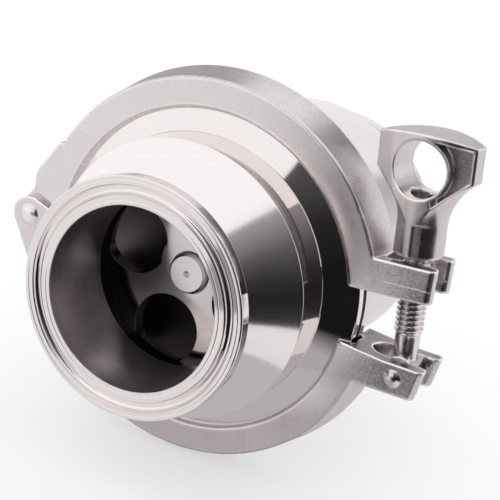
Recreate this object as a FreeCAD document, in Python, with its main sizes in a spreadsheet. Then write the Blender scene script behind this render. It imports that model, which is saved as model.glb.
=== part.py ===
import FreeCAD, Part
import math
import os

import Sketcher

# Sanitary non-return valve with clamp ends.
# Origin: centre of the outlet ferrule face. +Y runs into the valve, towards the inlet.
# +Z is up, the clamp's hinge is on -X and its swing bolt on +X. Millimetres throughout.

doc = FreeCAD.newDocument("NonReturnValve")

# Driving sizes
SIZES = (
    ("bore_radius", 24.3, "flow bore at both ends"),
    ("ferrule_radius", 32.0, "outside of the end ferrules"),
    ("ferrule_rim", 3.6, "axial depth of the ferrule rim"),
    ("flank_angle", 20.0, "back angle of ferrules and body flanges, degrees"),
    ("neck_wall", 1.7, "wall of the tube neck behind each ferrule"),
    ("neck_end", 9.5, "ferrule face to the start of the cone"),
    ("cone_end", 21.7, "ferrule face to the wide end of the cone"),
    ("edge_break", 0.35, "broken edge on turned rims"),
    ("end_groove_step", 4.0, "flow bore to the middle of the ferrule gasket groove"),
    ("groove_half_width", 1.4, "half width of the gasket grooves"),
    ("groove_depth", 1.5, "depth of the gasket grooves"),
    ("groove_draft", 0.5, "taper of the gasket groove sides"),
    ("body_radius", 38.1, "outside of the valve body"),
    ("body_wall", 2.6, "wall of the valve body round its chamber"),
    ("flange_radius", 47.2, "outside of the body flanges"),
    ("flange_face", 39.2, "ferrule face to the outlet body's flange face"),
    ("flange_rim", 2.64, "axial depth of the body flange rim"),
    ("body_groove_shift", 0.15, "middle of the flange face to the middle of the body gasket groove"),
    ("gasket_thickness", 2.0, "gasket between the body flanges"),
    ("gasket_inset", 0.2, "gasket edge below the flange rim"),
    ("bead_clearance", 0.05, "gasket bead to its groove"),
    ("valve_length", 125.2, "ferrule face to ferrule face"),
    ("taper_start", 24.0, "ferrule face to the start of the lead-in taper"),
    ("shoulder_step", 1.2, "flow bore to the outside of the guide plate's shoulder lead-in"),
    ("plate_front", 30.5, "ferrule face to the guide plate"),
    ("plate_thickness", 4.0, "guide plate"),
    ("plate_overlap", 1.4, "guide plate past its shoulder's inner edge"),
    ("plate_clearance", 0.1, "guide plate in its recess"),
    ("recess_lead", 0.6, "recess depth past the guide plate"),
    ("scallop_radius", 9.8, "flow scallop of the guide plate"),
    ("scallop_centre", 18.3, "scallop centre from the valve axis"),
    ("scallop_turn", 74.5, "turn of the first scallop, degrees"),
    ("scallop_count", 4, "scallops round the guide plate"),
    ("hub_radius", 8.3, "guide hub and plug hub"),
    ("stem_radius", 5.55, "plug stem"),
    ("stem_clearance", 0.08, "stem in the guide hub"),
    ("stem_end", 28.7, "ferrule face to the stem end, plug closed"),
    ("stem_chamfer", 0.6, "chamfer of the stem end"),
    ("centre_mark", 0.9, "lathe centre in the stem end"),
    ("spigot_radius", 4.0, "stem spigot in the plug"),
    ("spigot_floor", 4.0, "stem spigot's end short of the plug's disc"),
    ("plug_face", 6.2, "flow bore to the outside of the plug"),
    ("plug_edge", 3.0, "cylindrical edge of the plug"),
    ("plug_nose_step", 1.3, "flow bore to the edge of the plug's flat nose"),
    ("plug_hub_length", 25.0, "plug hub behind the disc"),
    ("plug_travel", 12.0, "plug lift, closed to open"),
    ("seat_inset", 14.0, "inlet face to the narrow end of the seat cone"),
    ("seat_gap", 0.5, "axial gap between plug cone and seat"),
    ("seal_wire", 1.75, "section radius of the seal ring"),
    ("seal_step", 3.7, "flow bore to the middle of the seal ring"),
    ("seal_gap", 0.1, "seal ring to the seat cone"),
    ("seal_pocket", 0.05, "seal ring to the floor and sides of its groove"),
    ("spring_room", 1.2, "hub to the inside of the closing spring"),
    ("spring_wire", 1.1, "wire radius of the closing spring"),
    ("spring_turns", 8.5, "turns of the closing spring"),
    ("clamp_width", 12.2, "axial width of the clamp ring"),
    ("clamp_grip", 3.2, "flange rim to the inner lips of the clamp ring"),
    ("clamp_bevel", 1.2, "bevel from the inner lips to the clamp's flat face"),
    ("clamp_wall", 5.4, "flange rim to the outer edge of the clamp's front face"),
    ("clamp_taper", 1.8, "outer edge of the clamp's back face past the front one"),
    ("clamp_root_clearance", 0.8, "flange rim to the clamp groove's root"),
    ("flank_clearance", 0.06, "clamp flanks to the flange cones"),
    ("clamp_edge", 0.8, "cast edge radius of the clamp ring"),
    ("lug_width", 16.2, "width of the lugs along the valve"),
    ("slot_width", 8.8, "bolt slot in the lugs"),
    ("lug_reach", 13.7, "upper lug past the ring's front edge"),
    ("lower_reach", 15.7, "lower lug past the ring's front edge"),
    ("bolt_out", 7.85, "bolt pivot past the ring's front edge"),
    ("pivot_drop", 12.2, "bolt pivot below the valve axis"),
    ("bolt_lean", 3.8, "lean of the bolt towards the valve, degrees"),
    ("lug_slope", 3.0, "slope of the upper lug's faces, degrees"),
    ("upper_gap", 9.4, "upper lug's lower face above the valve axis"),
    ("upper_thickness", 8.95, "upper lug"),
    ("lower_gap", 8.2, "lower lug's upper face below the valve axis"),
    ("lower_thickness", 8.4, "lower lug"),
    ("slot_end", 1.4, "slot's inner end inside the ring's front edge"),
    ("slot_corner", 1.2, "inner corners of the upper lug's slot"),
    ("slot_flat", 0.2, "flat between the round inner corners of the lower lug's slot"),
    ("lug_corner", 1.3, "upright corners of the lug ears"),
    ("pin_radius", 2.0, "rivets"),
    ("head_radius", 2.45, "head of the bolt's pivot rivet"),
    ("hinge_head_radius", 3.2, "head of the hinge rivet"),
    ("head_height", 0.95, "rivet heads"),
    ("pin_clearance", 0.09, "running fit on the rivets"),
    ("eye_radius", 4.8, "eye of the swing bolt"),
    ("eye_clearance", 0.3, "eye to each side of the lug slot"),
    ("shank_radius", 3.3, "plain shank of the bolt"),
    ("thread_radius", 3.9, "threaded part of the bolt"),
    ("thread_start", 10.4, "bolt pivot to the start of the thread"),
    ("bolt_length", 44.0, "bolt pivot to the bolt tip"),
    ("hinge_out", 3.1, "hinge pivot past the ring's front edge"),
    ("hinge_rise", 0.6, "hinge pivot above the valve axis"),
    ("hinge_end_rise", 7.7, "hinge pivot to the end face's outer corner"),
    ("hinge_swell", 26.4, "place round the ring where the hinge swell ends, degrees"),
    ("ear_radius", 5.2, "hinge ears about the pivot"),
    ("ear_thickness", 3.5, "hinge ears"),
    ("tongue_clearance", 0.15, "tongue to each hinge ear"),
    ("tongue_radius", 5.1, "tongue about the hinge pivot"),
    ("tongue_room", 0.6, "tongue end to the floor of its slot"),
    ("nut_base", 31.9, "bolt pivot to the underside of the nut"),
    ("nut_skirt_radius", 6.55, "column under the nut's ring"),
    ("nut_bore_clearance", 0.1, "nut bore to the bolt's thread"),
    ("nut_turn", 7.0, "turn of the tightened nut about the bolt, degrees"),
    ("nut_ring_height", 23.0, "nut underside to the centre of its hole"),
    ("nut_hole_radius", 7.5, "finger hole of the nut"),
    ("nut_half_span", 13.8, "wing tips from the bolt axis"),
    ("nut_thickness", 13.0, "nut at the middle"),
    ("nut_tip_thickness", 4.2, "wing tips"),
    ("nut_crest", 9.2, "crest of the nut above the hole centre"),
    ("nut_tip_crest", 7.4, "wing tip's upper corner above the hole centre"),
    ("nut_tip_foot", 1.8, "wing tip's lower corner below the hole centre"),
    ("nut_waist_drop", 14.1, "wings meet the column this far below the hole centre"),
    ("nut_flare", 15.9, "hollow flare from the column out to the wing tips"),
    ("nut_rim", 0.9, "raised rims round the nut's panels"),
    ("nut_hole_rim", 0.55, "rim left between the hole and each panel"),
    ("nut_cast_radius", 5.2, "cast hollow down one side of the column"),
    ("nut_cast_turn", 35.0, "where that hollow runs out into the column, degrees"),
    ("nut_cast_edge", 0.7, "nut's middle to the step of that hollow"),
    ("nut_web", 4.8, "web left behind each panel"),
)

sheet = doc.addObject("Spreadsheet::Sheet", "Sizes")
for row, (alias, value, note) in enumerate(SIZES, start=1):
    sheet.set("A%d" % row, note)
    sheet.set("B%d" % row, str(value))
    sheet.setAlias("B%d" % row, alias)
doc.recompute()


# A size carries its number, for a sketch's first guess, and the formula that binds it to the sheet
class Size:
    def __init__(self, value, text):
        self.value = float(value)
        self.text = text

    def join(self, other, sign, value):
        return Size(value, "(%s %s %s)" % (self.text, sign, other.text))

    def __add__(self, other):
        other = as_size(other)
        return self.join(other, "+", self.value + other.value)

    def __radd__(self, other):
        return as_size(other) + self

    def __sub__(self, other):
        other = as_size(other)
        return self.join(other, "-", self.value - other.value)

    def __rsub__(self, other):
        return as_size(other) - self

    def __mul__(self, other):
        other = as_size(other)
        return self.join(other, "*", self.value * other.value)

    def __rmul__(self, other):
        return as_size(other) * self

    def __truediv__(self, other):
        other = as_size(other)
        return self.join(other, "/", self.value / other.value)

    def __neg__(self):
        return as_size(0) - self


def as_size(item):
    if isinstance(item, Size):
        return item
    return Size(item, repr(item))


def sine(angle):
    return Size(math.sin(math.radians(angle.value)), "sin(%s)" % angle.text)


def cosine(angle):
    return Size(math.cos(math.radians(angle.value)), "cos(%s)" % angle.text)


def tangent(angle):
    return Size(math.tan(math.radians(angle.value)), "tan(%s)" % angle.text)


def root(square):
    return Size(math.sqrt(square.value), "sqrt(%s)" % square.text)


class Table:
    pass


s = Table()
for alias, value, note in SIZES:
    setattr(s, alias, Size(value, "Sizes." + alias))


# Helpers for bodies, sketches and features
def new_body(label):
    body = doc.addObject("PartDesign::Body", label)
    body.Label = label
    return body


def base_plane(body, role):
    for item in body.Origin.OriginFeatures:
        if item.Role == role:
            return item
    raise ValueError(role)


def new_sketch(body, name, role, lift=None):
    sketch = body.newObject("Sketcher::SketchObject", name)
    sketch.AttachmentSupport = [(base_plane(body, role), "")]
    sketch.MapMode = "FlatFace"
    if lift is not None:
        sketch.AttachmentOffset = FreeCAD.Placement(
            FreeCAD.Vector(0, 0, lift.value), FreeCAD.Rotation())
        sketch.setExpression("AttachmentOffset.Base.z", lift.text)
    return sketch


def arc_between(first, last, radius):
    # A positive radius turns anticlockwise from first to last, a negative one clockwise
    chord = last - first
    middle = (first + last) * 0.5
    reach = math.sqrt(max(radius * radius - chord.Length ** 2 / 4.0, 0.0))
    side = FreeCAD.Vector(-chord.y, chord.x, 0).normalize()
    if radius < 0:
        side = side * -1.0
    centre = middle + side * reach
    start = math.atan2(first.y - centre.y, first.x - centre.x)
    end = math.atan2(last.y - centre.y, last.x - centre.x)
    if radius < 0:
        start, end = end, start
    circle = Part.Circle(centre, FreeCAD.Vector(0, 0, 1), abs(radius))
    return Part.ArcOfCircle(circle, start, end)


def bind(sketch, constraint, size):
    index = sketch.addConstraint(constraint)
    sketch.setExpression("Constraints[%d]" % index, size.text)


def pin_point(sketch, geometry, point, across, up):
    if across.value == 0:
        sketch.addConstraint(Sketcher.Constraint("PointOnObject", geometry, point, -2))
    else:
        rule = Sketcher.Constraint("DistanceX", -1, 1, geometry, point, across.value)
        bind(sketch, rule, across)
    if up.value == 0:
        sketch.addConstraint(Sketcher.Constraint("PointOnObject", geometry, point, -1))
    else:
        rule = Sketcher.Constraint("DistanceY", -1, 1, geometry, point, up.value)
        bind(sketch, rule, up)


def outline(sketch, corners):
    # Corners are (across, up) or (across, up, radius of the arc that leaves the corner)
    points = [(as_size(c[0]), as_size(c[1])) for c in corners]
    spots = [FreeCAD.Vector(a.value, b.value, 0) for a, b in points]
    first = sketch.GeometryCount
    count = len(corners)
    starts = []
    ends = []
    for i, corner in enumerate(corners):
        here = spots[i]
        there = spots[(i + 1) % count]
        if len(corner) == 3:
            shape = arc_between(here, there, as_size(corner[2]).value)
            backwards = as_size(corner[2]).value < 0
        else:
            shape = Part.LineSegment(here, there)
            backwards = False
        index = sketch.addGeometry(shape, False)
        starts.append((index, 2 if backwards else 1))
        ends.append((index, 1 if backwards else 2))
    for i in range(count):
        follower = starts[(i + 1) % count]
        sketch.addConstraint(Sketcher.Constraint("Coincident", *ends[i], *follower))
    for i, corner in enumerate(corners):
        pin_point(sketch, starts[i][0], starts[i][1], points[i][0], points[i][1])
        if len(corner) == 3:
            radius = as_size(corner[2])
            if radius.value < 0:
                radius = -radius
            bind(sketch, Sketcher.Constraint("Radius", first + i, radius.value), radius)


def ring(sketch, across, up, radius):
    across = as_size(across)
    up = as_size(up)
    centre = FreeCAD.Vector(across.value, up.value, 0)
    shape = Part.Circle(centre, FreeCAD.Vector(0, 0, 1), radius.value)
    index = sketch.addGeometry(shape, False)
    pin_point(sketch, index, 3, across, up)
    bind(sketch, Sketcher.Constraint("Radius", index, radius.value), radius)


def volume_of(body):
    doc.recompute()
    return body.Tip.Shape.Volume


def revolve(body, sketch, name, axis, angle=360.0, kind="PartDesign::Revolution"):
    feature = body.newObject(kind, name)
    feature.Profile = sketch
    feature.ReferenceAxis = (sketch, [axis])
    feature.Angle = angle
    if angle < 360.0:
        feature.Midplane = True
    doc.recompute()
    return feature


def pad(body, sketch, name, length, backwards=False, middle=False):
    feature = body.newObject("PartDesign::Pad", name)
    feature.Profile = sketch
    feature.setExpression("Length", length.text)
    feature.Reversed = backwards
    if middle:
        feature.Midplane = True
    doc.recompute()
    return feature


def cut(body, sketch, name, depth=None, backwards=False, middle=False):
    # The volume shows whether the cut went into the solid
    before = volume_of(body)
    feature = body.newObject("PartDesign::Pocket", name)
    feature.Profile = sketch
    feature.Reversed = backwards
    if middle:
        feature.Midplane = True
    if depth is None:
        feature.Type = 1
    else:
        feature.setExpression("Length", depth.text)
    after = volume_of(body)
    if not after < before:
        raise RuntimeError("%s removed nothing from %s" % (name, body.Label))
    return feature


def edges_where(shape, test):
    return ["Edge%d" % (i + 1) for i, edge in enumerate(shape.Edges) if test(edge)]


def dress(body, name, kind, test, size):
    # Fillet or chamfer on the edges of the body's last feature that pass the test
    base = body.Tip
    names = edges_where(base.Shape, test)
    if not names:
        raise RuntimeError("no edges for %s" % name)
    feature = body.newObject(kind, name)
    feature.Base = (base, names)
    prop = "Radius" if kind.endswith("Fillet") else "Size"
    feature.setExpression(prop, size.text)
    doc.recompute()
    return feature


def is_upright(edge):
    if not isinstance(edge.Curve, Part.Line):
        return False
    return abs(edge.Curve.Direction.z) > 0.97


# Sizes and places that several pieces share
flank = tangent(s.flank_angle)
neck_radius = s.bore_radius + s.neck_wall
end_groove_radius = s.bore_radius + s.end_groove_step
body_bore_radius = s.body_radius - s.body_wall
body_groove_radius = (body_bore_radius + s.flange_radius) / 2 + s.body_groove_shift
shoulder_radius = s.bore_radius + s.shoulder_step
plate_radius = shoulder_radius + s.plate_overlap
plug_radius = s.bore_radius + s.plug_face
plug_nose_radius = s.bore_radius + s.plug_nose_step
seal_radius = s.bore_radius + s.seal_step
spring_radius = s.hub_radius + s.spring_room + s.spring_wire
clamp_lip_radius = s.flange_radius - s.clamp_grip
clamp_face_inner = clamp_lip_radius + s.clamp_bevel
clamp_face_outer = s.flange_radius + s.clamp_wall
clamp_back_outer = clamp_face_outer + s.clamp_taper
neck_start = s.ferrule_rim + flank * (s.ferrule_radius - neck_radius)
flange_back = s.flange_face - s.flange_rim - flank * (s.flange_radius - s.body_radius)
inlet_flange = s.flange_face + s.gasket_thickness
joint_plane = s.flange_face + s.gasket_thickness / 2
plate_back = s.plate_front + s.plate_thickness
seat_end = s.valve_length - s.seat_inset
seat_start = seat_end - (body_bore_radius - s.bore_radius)
plug_nose = seat_end - s.seat_gap - s.plug_nose_step
plug_cone = seat_end - s.seat_gap - s.plug_face
plug_back = plug_cone - s.plug_edge
plug_hub_end = plug_back - s.plug_hub_length
guide_end = plug_hub_end - s.plug_travel
clamp_front = joint_plane - s.clamp_width / 2
clamp_back = joint_plane + s.clamp_width / 2
lug_back = clamp_front + s.lug_width
lug_middle = clamp_front + s.lug_width / 2
bolt_x = clamp_face_outer + s.bolt_out
hinge_x = -(clamp_face_outer + s.hinge_out)
lug_rise = tangent(s.lug_slope)


def gasket_groove(face, radius, inward, slack):
    # Four corners of a groove or bead, from its inner edge outwards, along a face
    half = s.groove_half_width - slack
    depth = (s.groove_depth - slack) * inward
    return [
        (face, radius - half),
        (face + depth, radius - half + s.groove_draft),
        (face + depth, radius + half - s.groove_draft),
        (face, radius + half),
    ]


# Outlet body: ferrule, neck, cone, band and body flange, turned in one piece
outlet_body = new_body("outlet_body")
profile = new_sketch(outlet_body, "OutletProfile", "YZ_Plane")
outline(profile, [
    (0, s.bore_radius),
    *gasket_groove(as_size(0), end_groove_radius, 1, as_size(0)),
    (0, s.ferrule_radius - s.edge_break),
    (s.edge_break, s.ferrule_radius),
    (s.ferrule_rim, s.ferrule_radius),
    (neck_start, neck_radius),
    (s.neck_end, neck_radius),
    (s.cone_end, s.body_radius),
    (flange_back, s.body_radius),
    (s.flange_face - s.flange_rim, s.flange_radius),
    (s.flange_face, s.flange_radius),
    *reversed(gasket_groove(s.flange_face, body_groove_radius, -1, as_size(0))),
    (s.flange_face, body_bore_radius),
    (plate_back + s.recess_lead, plate_radius + s.plate_clearance),
    (s.plate_front, plate_radius + s.plate_clearance),
    (s.plate_front, shoulder_radius),
    (s.taper_start, s.bore_radius),
])
revolve(outlet_body, profile, "OutletTurned", "H_Axis")

# Inlet body: flange, long chamber, conical seat, neck and ferrule
inlet_body = new_body("inlet_body")
profile = new_sketch(inlet_body, "InletProfile", "YZ_Plane")
outline(profile, [
    (inlet_flange, body_bore_radius),
    *gasket_groove(inlet_flange, body_groove_radius, 1, as_size(0)),
    (inlet_flange, s.flange_radius),
    (inlet_flange + s.flange_rim, s.flange_radius),
    (inlet_flange + (s.flange_face - flange_back), s.body_radius),
    (s.valve_length - s.cone_end, s.body_radius),
    (s.valve_length - s.neck_end, neck_radius),
    (s.valve_length - neck_start, neck_radius),
    (s.valve_length - s.ferrule_rim, s.ferrule_radius),
    (s.valve_length - s.edge_break, s.ferrule_radius),
    (s.valve_length, s.ferrule_radius - s.edge_break),
    *reversed(gasket_groove(s.valve_length, end_groove_radius, -1, as_size(0))),
    (s.valve_length, s.bore_radius),
    (seat_end, s.bore_radius),
    (seat_start, body_bore_radius),
])
revolve(inlet_body, profile, "InletTurned", "H_Axis")

# Gasket between the body flanges, with a bead on each face
body_gasket = new_body("body_gasket")
profile = new_sketch(body_gasket, "GasketProfile", "YZ_Plane")
outline(profile, [
    (s.flange_face, body_bore_radius),
    *gasket_groove(s.flange_face, body_groove_radius, -1, s.bead_clearance),
    (s.flange_face, s.flange_radius - s.gasket_inset),
    (inlet_flange, s.flange_radius - s.gasket_inset),
    *reversed(gasket_groove(inlet_flange, body_groove_radius, 1, s.bead_clearance)),
    (inlet_flange, body_bore_radius),
])
revolve(body_gasket, profile, "GasketMoulded", "H_Axis")

# Guide plate: scalloped disc with a long hub for the stem
guide_plate = new_body("guide_plate")
guide_bore = s.stem_radius + s.stem_clearance
profile = new_sketch(guide_plate, "GuideProfile", "YZ_Plane")
outline(profile, [
    (s.plate_front, guide_bore + s.edge_break),
    (s.plate_front, plate_radius),
    (plate_back, plate_radius),
    (plate_back, s.hub_radius),
    (guide_end, s.hub_radius),
    (guide_end, guide_bore),
    (s.plate_front + s.edge_break, guide_bore),
])
revolve(guide_plate, profile, "GuideTurned", "H_Axis")
profile = new_sketch(guide_plate, "ScallopProfile", "XZ_Plane")
ring(profile, s.scallop_centre * cosine(s.scallop_turn),
     s.scallop_centre * sine(s.scallop_turn), s.scallop_radius)
scallop = cut(guide_plate, profile, "Scallop")
pattern = guide_plate.newObject("PartDesign::PolarPattern", "Scallops")
pattern.Originals = [scallop]
pattern.Axis = (base_plane(guide_plate, "Y_Axis"), [""])
pattern.Angle = 360
pattern.setExpression("Occurrences", "Sizes.scallop_count")
guide_plate.Tip = pattern
doc.recompute()

# Plug: disc with a 45 degree face, dovetail seal groove, hub and blind hole for the stem
valve_plug = new_body("valve_plug")
spigot_end = plug_back - s.spigot_floor
profile = new_sketch(valve_plug, "PlugProfile", "YZ_Plane")
outline(profile, [
    (plug_hub_end, s.spigot_radius),
    (plug_hub_end, s.hub_radius),
    (plug_back, s.hub_radius),
    (plug_back, plug_radius),
    (plug_cone, plug_radius),
    (plug_nose, plug_nose_radius),
    (plug_nose, 0),
    (spigot_end, 0),
    (spigot_end, s.spigot_radius),
])
revolve(valve_plug, profile, "PlugTurned", "H_Axis")
slant = cosine(as_size(45))
seal_axial = seat_end - s.seal_step - (s.seal_wire + s.seal_gap) / slant
pocket_depth = (s.seal_wire + s.seal_pocket) * slant
pocket_floor = pocket_depth * 1.222
pocket_mouth = pocket_depth * 0.795
pocket_top = s.seal_wire * 1.2 * slant
profile = new_sketch(valve_plug, "SealPocketProfile", "YZ_Plane")
outline(profile, [
    (seal_axial - pocket_depth + pocket_floor, seal_radius - pocket_depth - pocket_floor),
    (seal_axial + pocket_top + pocket_mouth, seal_radius + pocket_top - pocket_mouth),
    (seal_axial + pocket_top - pocket_mouth, seal_radius + pocket_top + pocket_mouth),
    (seal_axial - pocket_depth - pocket_floor, seal_radius - pocket_depth + pocket_floor),
])
before = volume_of(valve_plug)
revolve(valve_plug, profile, "SealPocket", "H_Axis", kind="PartDesign::Groove")
if not volume_of(valve_plug) < before:
    raise RuntimeError("the seal ring's groove removed nothing")

# Seal ring of round section in the plug's face
plug_seal_ring = doc.addObject("Part::Torus", "plug_seal_ring")
plug_seal_ring.Label = "plug_seal_ring"
plug_seal_ring.setExpression("Radius1", seal_radius.text)
plug_seal_ring.setExpression("Radius2", s.seal_wire.text)
plug_seal_ring.Placement = FreeCAD.Placement(
    FreeCAD.Vector(0, seal_axial.value, 0),
    FreeCAD.Rotation(FreeCAD.Vector(1, 0, 0), -90))
plug_seal_ring.setExpression("Placement.Base.y", seal_axial.text)

# Stem: rod with a lathe centre in its free end and a spigot in the plug
plug_stem = new_body("plug_stem")
profile = new_sketch(plug_stem, "StemProfile", "YZ_Plane")
outline(profile, [
    (s.stem_end + s.centre_mark, 0),
    (s.stem_end, s.centre_mark),
    (s.stem_end, s.stem_radius - s.stem_chamfer),
    (s.stem_end + s.stem_chamfer, s.stem_radius),
    (plug_hub_end, s.stem_radius),
    (plug_hub_end, s.spigot_radius),
    (spigot_end, s.spigot_radius),
    (spigot_end, 0),
])
revolve(plug_stem, profile, "StemTurned", "H_Axis")

# Closing spring, coiled between the guide plate and the plug, with its ends ground flat
closing_spring = new_body("closing_spring")
profile = new_sketch(closing_spring, "WireProfile", "YZ_Plane")
ring(profile, plate_back + s.spring_wire / 2, spring_radius, s.spring_wire)
coil = closing_spring.newObject("PartDesign::AdditiveHelix", "Coil")
coil.Profile = profile
coil.ReferenceAxis = (profile, ["H_Axis"])
coil.Mode = "height-turns-angle"
coil.setExpression("Height", (plug_back - plate_back - s.spring_wire).text)
coil.setExpression("Turns", s.spring_turns.text)
doc.recompute()
for name, face, beyond in (
    ("FixedEnd", plate_back, plate_back - s.spring_wire * 2),
    ("MovingEnd", plug_back, plug_back + s.spring_wire * 2),
):
    profile = new_sketch(closing_spring, name, "YZ_Plane")
    reach = spring_radius + s.spring_wire * 2
    outline(profile, [(face, 0), (face, reach), (beyond, reach), (beyond, 0)])
    before = volume_of(closing_spring)
    revolve(closing_spring, profile, name + "Ground", "H_Axis", kind="PartDesign::Groove")
    if not volume_of(closing_spring) < before:
        raise RuntimeError("the spring's end was not ground")


# Clamp ring
clamp_root = s.flange_radius + s.clamp_root_clearance
inner_line = clamp_lip_radius - 1
front_flank = flange_back - flank * s.body_radius - s.flank_clearance
lip_flank = front_flank + flank * clamp_lip_radius
root_flank = front_flank + flank * clamp_root


def mirrored(place):
    return joint_plane * 2 - place


def ring_blank(body, side, angle):
    # Outside of the clamp ring: flat front face, tapered band, cast edges
    rise = (clamp_back_outer - clamp_face_outer) / s.clamp_width * s.clamp_edge
    section = new_sketch(body, "RingSection", "YZ_Plane")
    turn = s.clamp_edge * -side
    outline(section, [
        (clamp_front, inner_line * side),
        (clamp_front, (clamp_face_outer - s.clamp_edge) * side, turn),
        (clamp_front + s.clamp_edge, (clamp_face_outer + rise) * side),
        (clamp_back - s.clamp_edge, (clamp_back_outer - rise) * side, turn * 1.05),
        (clamp_back, (clamp_back_outer - s.clamp_edge) * side),
        (clamp_back, inner_line * side),
    ])
    revolve(body, section, "RingBlank", "H_Axis", angle)


def ring_groove(body):
    # Inside of the clamp ring: bevelled lips and the groove for the two flanges
    section = new_sketch(body, "GrooveSection", "YZ_Plane")
    outline(section, [
        (clamp_front - 1, 0),
        (clamp_front - 1, clamp_face_inner),
        (clamp_front, clamp_face_inner),
        (lip_flank, clamp_lip_radius),
        (root_flank, clamp_root),
        (mirrored(root_flank), clamp_root),
        (mirrored(lip_flank), clamp_lip_radius),
        (clamp_back, clamp_face_inner),
        (lug_back + 1, clamp_face_inner),
        (lug_back + 1, 0),
    ])
    before = volume_of(body)
    revolve(body, section, "RingGroove", "H_Axis", kind="PartDesign::Groove")
    if not volume_of(body) < before:
        raise RuntimeError("the clamp groove removed nothing")


def bolt_slot(body, corner):
    # Slot for the swing bolt, open outwards, with rounded corners at its inner end
    half = s.slot_width / 2
    start = clamp_face_outer - s.slot_end
    out = clamp_face_outer + s.lower_reach + 3
    section = new_sketch(body, "SlotSection", "XY_Plane")
    outline(section, [
        (start + corner, lug_middle - half),
        (out, lug_middle - half),
        (out, lug_middle + half),
        (start + corner, lug_middle + half, corner),
        (start, lug_middle + half - corner),
        (start, lug_middle - half + corner, corner),
    ])
    cut(body, section, "BoltSlot", middle=True)


def lug_corners(edge, end):
    # Upright outer corners of the two ears
    if not is_upright(edge):
        return False
    return edge.CenterOfMass.x > end


# Upper half of the clamp: ring, slotted lug, end face and hinge tongue
clamp_upper_half = new_body("clamp_upper_half")
ring_blank(clamp_upper_half, 1, 180.0)


def upper_underside(across):
    # The lug's faces slope down towards the valve
    return s.upper_gap + (across - bolt_x) * lug_rise


upper_end = clamp_face_outer + s.lug_reach
upper_inner = clamp_face_inner + 1
lug = new_sketch(clamp_upper_half, "LugOutline", "XZ_Plane", -clamp_front)
outline(lug, [
    (upper_inner, upper_underside(upper_inner)),
    (upper_end, upper_underside(upper_end)),
    (upper_end, upper_underside(upper_end) + s.upper_thickness),
    (upper_inner + 2, upper_underside(upper_inner + 2) + s.upper_thickness),
])
pad(clamp_upper_half, lug, "Lug", s.lug_width, backwards=True)

# The end face by the hinge, as a line through its outer corner
end_slope = -0.457
end_outer_x = hinge_x + 1.3
end_outer_z = s.hinge_rise + s.hinge_end_rise
swell_out = clamp_face_outer + 1.0
swell_in = clamp_face_outer - 0.7


def hinge_end(across):
    return end_outer_z + (across - end_outer_x) * end_slope


swell = new_sketch(clamp_upper_half, "SwellOutline", "XZ_Plane", -clamp_front)
outline(swell, [
    (end_outer_x, end_outer_z),
    (-clamp_root - 1, hinge_end(-clamp_root - 1)),
    (-swell_in * cosine(s.hinge_swell + 1.15), swell_in * sine(s.hinge_swell + 1.15)),
    (-swell_out * cosine(s.hinge_swell), swell_out * sine(s.hinge_swell)),
    (hinge_x + 2.2, s.hinge_rise + 15.0),
    (hinge_x + 1.1, s.hinge_rise + 12.2),
])
pad(clamp_upper_half, swell, "HingeSwell", s.clamp_width, backwards=True)

far = clamp_face_outer * 1.6
ends = new_sketch(clamp_upper_half, "EndFaces", "XZ_Plane")
near_left = -clamp_lip_radius * 0.7
near_right = clamp_lip_radius * 0.7
outline(ends, [
    (-far, -6),
    (-far, hinge_end(-far)),
    (near_left, hinge_end(near_left)),
    (near_right, upper_underside(near_right)),
    (far, upper_underside(far)),
    (far, -6),
])
cut(clamp_upper_half, ends, "EndCuts")

tongue_width = s.clamp_width - s.ear_thickness * 2 - s.tongue_clearance * 2
tongue_front = clamp_front + s.ear_thickness + s.tongue_clearance
tongue = new_sketch(clamp_upper_half, "TongueOutline", "XZ_Plane", -tongue_front)
outline(tongue, [
    (hinge_x + s.tongue_radius, s.hinge_rise),
    (hinge_x + s.tongue_radius + 1.2, s.hinge_rise + 4),
    (hinge_x + s.tongue_radius + 1.2, s.hinge_rise + 12),
    (end_outer_x - 0.2, s.hinge_rise + 11.5),
    (hinge_x - s.tongue_radius * 0.927, s.hinge_rise + s.tongue_radius * 0.375, s.tongue_radius),
    (hinge_x, s.hinge_rise - s.tongue_radius, s.tongue_radius),
])
pad(clamp_upper_half, tongue, "HingeTongue", tongue_width, backwards=True)
ring_groove(clamp_upper_half)
bolt_slot(clamp_upper_half, s.slot_corner)
pin_hole = new_sketch(clamp_upper_half, "HingeHoleOutline", "XZ_Plane")
ring(pin_hole, hinge_x, s.hinge_rise, s.pin_radius + s.pin_clearance)
cut(clamp_upper_half, pin_hole, "HingeHole")
dress(clamp_upper_half, "LugCorners", "PartDesign::Fillet",
      lambda edge: lug_corners(edge, upper_end.value - 0.8), s.lug_corner)

# Lower half of the clamp: ring, slotted lug and two hinge ears
clamp_lower_half = new_body("clamp_lower_half")
ring_blank(clamp_lower_half, -1, 200.0)
lower_end = clamp_face_outer + s.lower_reach
lower_inner = clamp_face_inner + 1
lower_foot = -(s.lower_gap + s.lower_thickness)
lug = new_sketch(clamp_lower_half, "LugOutline", "XZ_Plane", -clamp_front)
outline(lug, [
    (lower_inner, -s.lower_gap + 1.1),
    (bolt_x - 3.6, -s.lower_gap),
    (lower_end, -s.lower_gap - 0.2),
    (lower_end - 1.8, lower_foot),
    (lower_inner + 1.5, lower_foot),
])
pad(clamp_lower_half, lug, "Lug", s.lug_width, backwards=True)
ends = new_sketch(clamp_lower_half, "EndFaces", "XZ_Plane")
ear_shelf = s.hinge_rise + 2.4
outline(ends, [
    (-far, far),
    (-far, ear_shelf),
    (near_left, ear_shelf),
    (near_right, -s.lower_gap + 2.4),
    (lower_inner, -s.lower_gap + 1.1),
    (bolt_x - 3.6, -s.lower_gap),
    (far, -s.lower_gap),
    (far, far),
])
cut(clamp_lower_half, ends, "EndCuts")
ears = new_sketch(clamp_lower_half, "EarOutline", "XZ_Plane", -clamp_front)
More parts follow.
